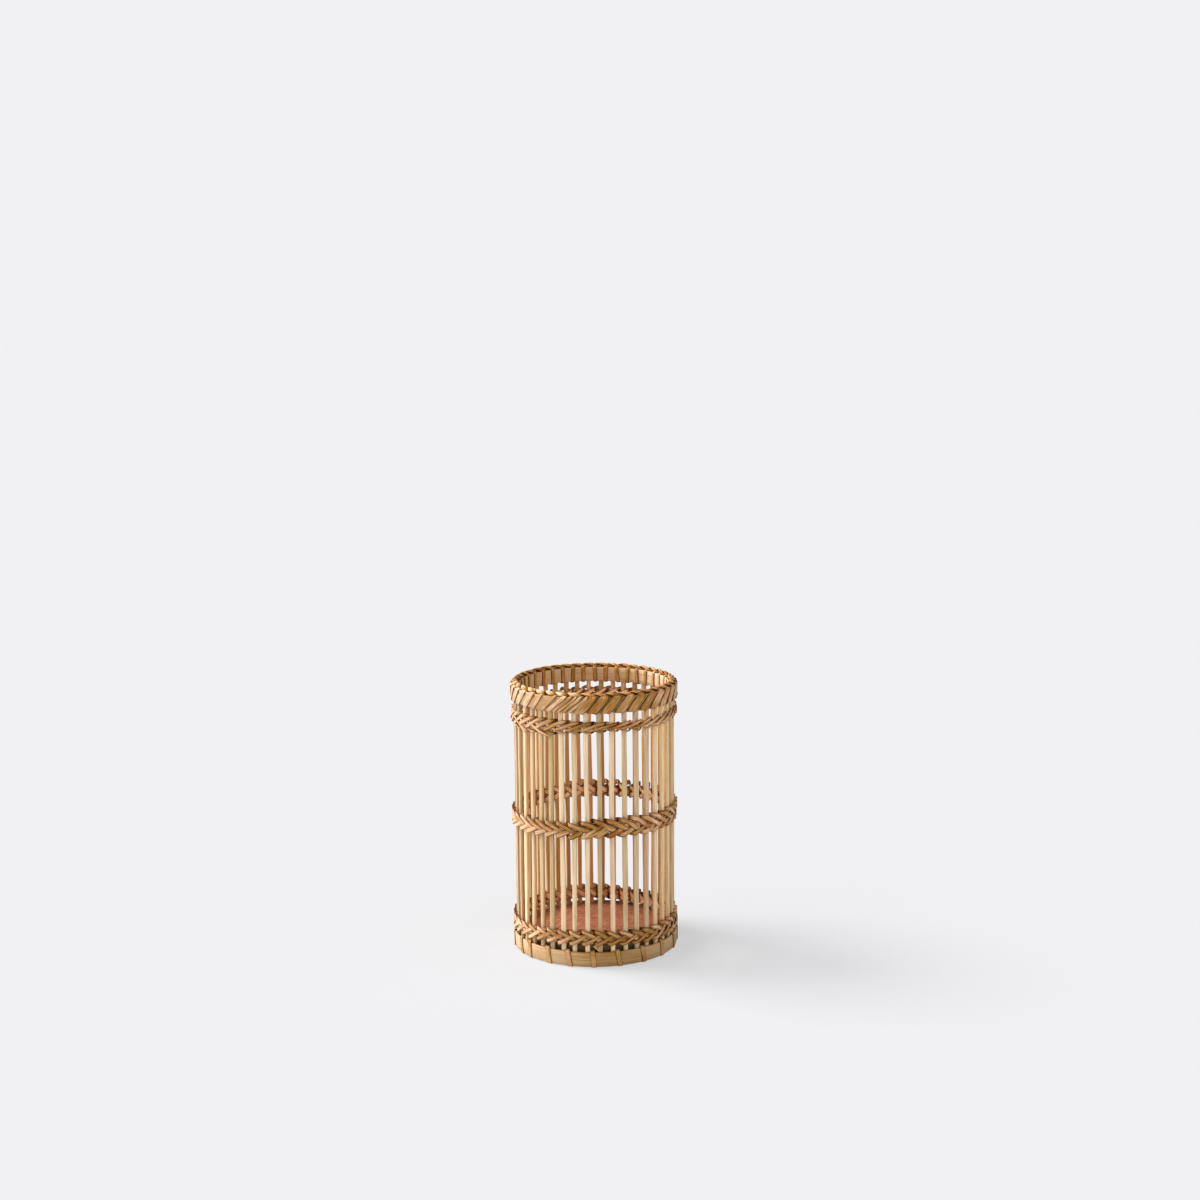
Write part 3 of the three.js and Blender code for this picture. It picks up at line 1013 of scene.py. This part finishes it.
# A stretch is given by the angle where it starts, the degrees over which it rises, its end and its fall
rimWork = {
    "seed": 31,
    "width": 2.7 * mm,
    "wide": 4.7 * mm,  # in front and to the right, where the turns lie edge to edge
    "wideStretch": (-13.5, 2, 150, 20),
    "tucked": 1.9 * mm,  # to the left, where the ends are tucked in
    "tuckedStretch": (-52, 4, -12, 2),
    "farLeft": (-50, 6),  # wider again beyond this angle, over these degrees
    "farWider": 0.9 * mm,
    "insideNarrower": 0.4 * mm,
    "outsideFrom": 2 * mm,  # beyond the middle of the staves
    "thickness": 0.54 * mm,
    "crown": 0.95,
    "endCrown": 0.6,
    "fillet": 1.3 * mm,
    "clear": -0.1 * mm,  # pressed into the hoops, so that the crowned faces stay inside the solids' box
    "sink": 0.1 * mm,  # the same above and below them
    "wander": 0.7,  # degrees
    "lean": 1.0,  # staves that an outside pass drifts on its way up
    # Turns that lean further at the tucked ends, and loose turns over them: foot, crest, width and tone
    "splice": {35: (0.0, 10.0), 36: (0.0, 12.5), 37: (-2.0, 13.0)},
    "spliceEnds": (
        (-32.5, -19.6, 2.3 * mm, 1.0), (-24.8, -11.6, 1.3 * mm, 0.4), (-17.0, -4.2, 1.6 * mm, 0.6),
    ),
    "endReach": 1.5 * mm,  # how far they go in over the hoops
    "endOver": 0.05 * mm,
    "startOut": 0.3 * mm,  # the start lies under the end of the strip, inside
    "startRise": 1.2 * mm,
    "endRise": -1.6 * mm,
}
rimToneWork = {
    "spacing": 7.3,
    "inside": 0.7,  # how far the tones spread, and how much darker they are
    "insideDarker": 0.55,
    # painted light: paler inside at the right
    "insideRight": 1.2,
    "outside": 1.3,  # the same outside, with a shift for each side as painted light and shade
    "frontFrom": -10,
    "front": -0.5,
    "right": (20, 30, 0.4),  # from this angle, over these degrees, so much paler than in front, as painted light
    "leftTo": -34,
    "left": 0.6,
    "between": 0.1,
    "ends": 0.5,  # spread of the loose turns' tones
}
rimLow, rimHigh = rimOuterBox[0][2], rimOuterBox[1][2]


def rimWidth(angle, radius, z):
    # Narrow turns inside and to the left, wide ones outside from the middle round to the right
    foot = angleFrom(-90, angle) - pitch * rimWork["lean"] * clamped((z - rimLow) / (rimHigh - rimLow))
    wider = (rimWork["wide"] - rimWork["width"]) * along(foot, *rimWork["wideStretch"])
    narrower = (rimWork["width"] - rimWork["tucked"]) * along(foot, *rimWork["tuckedStretch"])
    farFrom, farOver = rimWork["farLeft"]
    far = clamped((farFrom - foot) / farOver) * rimWork["farWider"]
    out = clamped((radius - cage["radius"]) / rimWork["outsideFrom"])
    return rimWork["width"] + (wider - narrower + far) * out - rimWork["insideNarrower"] * (1 - out)


def rimTone(angle, radius, tone):
    # Darker inside, where the turns show between pale panels
    if radius < cage["radius"]:
        right = paintedSideLight(angle, 0, 0, rimToneWork["insideRight"])
        return tone * rimToneWork["inside"] - rimToneWork["insideDarker"] + right
    place = angleFrom(-90, angle)
    rightFrom, rightOver, paler = rimToneWork["right"]
    side = rimToneWork["left"] if place < rimToneWork["leftTo"] else rimToneWork["between"]
    if place > rimToneWork["frontFrom"]:
        side = rimToneWork["front"] + paler * clamped((place - rightFrom) / rightOver)
    return tone * rimToneWork["outside"] + side


def overHoops(start, crest, inner, outer, bottom, top):
    # Corners of a turn: under both hoops, up outside and over them
    return [(start, inner, bottom), (start, outer, bottom), (crest, outer, top), (crest, inner, top)]


def makeRimLashing():
    rng = random.Random(rimWork["seed"])
    reach = rimWork["clear"] + rimWork["thickness"] / 2
    outer = outerHoopOutside + reach
    inner = innerHoopOutside - hoopThickness - reach
    top, bottom = rimHigh + reach - rimWork["sink"], rimLow - reach + rimWork["sink"]
    middle = (top + bottom) / 2
    wander = rimWork["wander"]
    corners = []
    for turn in range(cage["staves"]):
        gap = staveAngle(turn) + pitch / 2
        shift, lean = rimWork["splice"].get(turn, (0, pitch * rimWork["lean"]))
        start = gap + shift + rng.uniform(-wander, wander)
        crest = gap + shift + lean + rng.uniform(-wander, wander)
        if not corners:
            corners.append((start, inner + rimWork["startOut"], middle + rimWork["startRise"]))
        corners += overHoops(start, crest, inner, outer, bottom, top)
    corners.append((corners[0][0] + 360, inner, middle + rimWork["endRise"]))
    tones = toneByTurn(rng, rimToneWork["spacing"])
    strips = [
        windStrip(
            "rimTurns", corners, rimWidth, rimWork["thickness"], 1,
            lambda angle, radius, z: rimTone(angle, radius, tones(angle)),
            rimWork["fillet"], rimWork["crown"],
        )
    ]
    over, within = outer + rimWork["endOver"], inner + rimWork["endReach"]
    for start, crest, broad, pale in rimWork["spliceEnds"]:
        strips.append(
            windStrip(
                "rimEnd", overHoops(start, crest, within, over, bottom, top), lambda *place: broad,
                rimWork["thickness"], 1, lambda *place: tones(*place) * rimToneWork["ends"] + pale,
                rimWork["fillet"], rimWork["endCrown"],
            )
        )
    finishPiece(joinPieces(strips, "cane_rim_lashing"), lashingMaterial, "lashing_strip", "rim_lashing")


makeRimLashing()


baseWork = {
    "seed": 41,
    "width": 2.8 * mm,
    "thickness": 0.42 * mm,
    "crown": 0.8,
    "fillet": 0.5 * mm,
    "clear": 0.02 * mm,
    "hoopIn": 0.05 * hoopThickness,  # how far the outer hoop's thinner strip lies inside its solid
    "floorGap": 0.05 * mm,
    "passes": 20,
    "headBack": 0.9,  # degrees from the middle of a gap back to where a pass comes out
    "headWander": 0.6,
    "footWander": 0.9,
    "lean": 1.3,  # degrees that an outside pass drifts on its way down
    "under": 1,  # degrees that it drifts under the hoops
    "turnUp": 2.2 * mm,  # height inside at which it turns off to the next pass
    # Passes that lie further round: in the gap, outside
    "shifts": {1: (0, -0.7), 2: (0, -0.4), 15: (9, 1), 16: (9, 0.5), 17: (0, 4), 18: (0, 3), 19: (0, 0.8)},
    "startBack": 0.25,  # of the way from pass to pass, where the strip starts inside
    "endOn": 3,  # degrees beyond the last pass
    "endRise": 0.5 * mm,  # above half the inner hoop
    "toneSpacing": 9.1,
    "toneSpread": 0.8,
    "darker": 0.05,
}


def makeBaseLashing():
    rng = random.Random(baseWork["seed"])
    reach = baseWork["clear"] + baseWork["thickness"] / 2
    outer = baseOuterBox[1][0] - baseWork["hoopIn"] + reach
    inner = innerHoopOutside - hoopThickness - reach
    middle = cage["radius"]
    bottom = baseWork["thickness"] * (1 + baseWork["crown"]) / 2 + baseWork["floorGap"]
    innerTop = baseInnerBox[1][2] + reach
    outerTop = baseOuterBox[1][2] + reach
    endHeight = innerTop / 2 + baseWork["endRise"]
    headWander, footWander = baseWork["headWander"], baseWork["footWander"]
    corners = []
    for wrap in range(baseWork["passes"]):
        shift, drift = baseWork["shifts"].get(wrap, (0, 0))
        gap = staveAngle(2 * wrap) - pitch / 2 + shift
        head = gap - baseWork["headBack"] + rng.uniform(-headWander, headWander)
        foot = head + baseWork["lean"] + drift + rng.uniform(-footWander, footWander)
        footInside = foot + baseWork["under"]
        if not corners:
            corners.append((head - 360 / baseWork["passes"] * baseWork["startBack"], inner, endHeight))
        corners += [
            (head, inner, innerTop), (head, middle, innerTop), (head, middle, outerTop),
            (head + drift, outer, outerTop), (foot, outer, bottom), (footInside, inner, bottom),
            (footInside, inner, baseWork["turnUp"]),
        ]
    corners.append((corners[-1][0] + baseWork["endOn"], inner, endHeight))
    tones = toneByTurn(rng, baseWork["toneSpacing"])
    strip = windStrip(
        "cane_base_lashing", corners, lambda *place: baseWork["width"], baseWork["thickness"], -1,
        lambda *place: tones(*place) * baseWork["toneSpread"] - baseWork["darker"],
        baseWork["fillet"], baseWork["crown"],
    )
    finishPiece(strip, lashingMaterial, "lashing_strip", "base_lashing")


makeBaseLashing()
print("lashings made")


# Rim cord: two strands twisted together, half a turn for each stave

# Widths, thicknesses and tones: at half height, more at the crest, and more still where it is beaded; the
# tones, paler at the crests and beads and darker below, are painted light and shade
cordWork = {
    "seed": 53,
    "steps": 12,
    "sides": 12,
    "darkBelow": (0.1, 1.2),  # painted shade: how dark a strand is at its sides, and how much darker towards the other one
    "rise": 0.66 * mm,
    "reach": 0.8 * mm,
    "drop": 0.85 * mm,  # from the solid's top to the middle of a strand at its crest
    "clear": 0.06 * mm,
    "width": 1.9 * mm,
    "widths": (0.8, 0.2, 0.55),
    "thickness": 1.8 * mm,
    "thicknesses": (0.72, 0.1, 0.5),
    "beads": (-95, 20, 2, 20),  # the stretch of thick crests, given as the rim's are
    "beadsOut": 0.3 * mm,
    "twistWander": 0.25,
    "heightWander": 0.05 * mm,
    "toneSpacing": 8.0,
    # painted light and shade: paler at the crests, more on the beads, darker underneath
    "tones": (-0.3, 0.3, 1.5),
}


def cordSection():
    # A round strand, with painted shade on the side that lies against the other one
    dark, darker = cordWork["darkBelow"]
    points = []
    for i in range(cordWork["sides"]):
        a = math.pi * (2 * i / cordWork["sides"] - 0.5)
        points.append((math.cos(a), math.sin(a), clamped(dark - math.sin(a) * darker)))
    return points + points[:1]


def atCrest(values, bead, lift):
    half, crest, beaded = values
    return half + (crest + beaded * bead) * lift


def cordStations(phase, rng):
    count = cage["staves"]
    top = cordBox[1][2]
    z = top - cordWork["rise"] - cordWork["drop"]
    jitter = [rng.uniform(-1, 1) for _ in range(count + 2)]
    tones = toneByTurn(rng, cordWork["toneSpacing"])
    stations = []
    for i in range(count * cordWork["steps"] + 1):
        u = i / cordWork["steps"]
        k = int(u) % count
        blend = u - int(u)
        wobble = jitter[k] * (1 - blend) + jitter[(k + 1) % count] * blend
        turn = math.pi * u + phase + cordWork["twistWander"] * wobble
        angle = staveAngle(u)
        lift, side = math.cos(turn), math.sin(turn)
        bead = along(angleFrom(-180, angle), *cordWork["beads"])
        width = cordWork["width"] * atCrest(cordWork["widths"], bead, lift)
        thickness = cordWork["thickness"] * atCrest(cordWork["thicknesses"], bead, lift)
        highestMiddle = top - cordWork["clear"] - thickness / 2
        radius = cage["radius"] + side * cordWork["reach"] + cordWork["beadsOut"] * bead
        height = min(z + cordWork["rise"] * lift, highestMiddle) + cordWork["heightWander"] * wobble
        face = outward(angle) * side + up * lift
        tone = tones(angle) + atCrest(cordWork["tones"], bead, lift)
        stations.append((polar(angle, radius, height), face, width, thickness, tone))
    stations[-1] = stations[0]
    return stations


def makeRimCord():
    rng = random.Random(cordWork["seed"])
    for phase, letter in ((0, "a"), (math.pi, "b")):
        stations = cordStations(phase, rng)
        strand = rollStrip(f"cane_rim_cord_{letter}", stations, cordSection(), closed=True)
        finishPiece(strand, strandMaterial, "band_strand", "rim_cord")


makeRimCord()
print("rim cord made")


# Floor, light and camera

stage = {
    "size": 40.0,
    "floor": (0.5625, 0.5625, 0.576),
    "background": (0.8796, 0.8796, 0.8963),
    "shadowShare": 0.42,  # how much of the floor's own shading the camera sees
}


def mixForCamera(tree, share, usual, shown):
    # The camera sees that share of the one shown to it, and all other rays see the usual one
    ray = addNode(tree, "LightPath", {}).outputs["Is Camera Ray"]
    factor = addNode(tree, "Math", {0: ray, 1: share}, operation="MULTIPLY").outputs["Value"]
    return addNode(tree, "MixShader", {"Fac": factor, 1: usual, 2: shown}).outputs["Shader"]


def makeStage():
    deselectAll()
    bpy.ops.mesh.primitive_plane_add(size=stage["size"], location=(0, 0, 0))
    floor = bpy.context.object
    floor.name = "floor"
    material, tree, shader = newMaterial("paleFloor")
    feed(tree, shader, {"Base Color": stage["floor"], "Roughness": 1.0, "Specular IOR Level": 0.0})
    shown = addNode(tree, "Emission", {"Color": stage["background"]}).outputs["Emission"]
    mixed = mixForCamera(tree, 1 - stage["shadowShare"], shader.outputs["BSDF"], shown)
    feed(tree, tree.nodes["Material Output"], {"Surface": mixed})
    floor.data.materials.append(material)


# Lamps: strength, breadth, tilt from overhead and turn from the front, in degrees
lighting = {
    "keyLight": (3.9, 28.0, 44.0, -110.0),  # from the left, a little behind
    "sideLight": (1.2, 60.0, 60.0, -84.0),  # broad, from the left
    "fillLight": (0.7, 110.0, 60.0, -10.0),  # very broad, from in front
    "rightLight": (0.95, 90.0, 66.0, 62.0),  # weak and broad, from the right
}
skyStrength = 0.22


def makeSun(name, strength, breadth, tilt, turn):
    deselectAll()
    bpy.ops.object.light_add(type="SUN", rotation=(math.radians(tilt), 0, math.radians(turn)))
    sun = bpy.context.object
    sun.name = name
    sun.data.energy = strength
    sun.data.angle = math.radians(breadth)


def makeLight():
    for name, lamp in lighting.items():
        makeSun(name, *lamp)
    world = bpy.data.worlds.new("paleSky")
    bpy.context.scene.world = world
    world.use_nodes = True
    tree = world.node_tree
    sky = tree.nodes["Background"]
    feed(tree, sky, {"Color": (1, 1, 1), "Strength": skyStrength})
    shown = addNode(tree, "Background", {"Color": stage["background"]}).outputs["Background"]
    mixed = mixForCamera(tree, 1.0, sky.outputs["Background"], shown)
    feed(tree, tree.nodes["World Output"], {"Surface": mixed})


# The camera stands where the photograph was taken from: lens and sensor in millimetres, angles in degrees
view = {
    "lens": 56.01,
    "sensor": 36,
    "distance": 0.9995,
    "height": 0.3482,
    "aside": 0.0039,
    "pitch": 8.90,
    "roll": -0.49,
}


def makeCamera():
    deselectAll()
    bpy.ops.object.camera_add(
        location=(view["aside"], -view["distance"], view["height"]),
        rotation=(math.radians(90 - view["pitch"]), 0, 0),
    )
    camera = bpy.context.object
    camera.name = "photoCamera"
    camera.rotation_euler.rotate_axis("Z", math.radians(view["roll"]))
    camera.data.lens = view["lens"]
    camera.data.sensor_width = view["sensor"]
    bpy.context.scene.camera = camera


makeStage()
makeLight()
makeCamera()
bpy.context.scene.view_settings.view_transform = "Standard"
print("stage made")
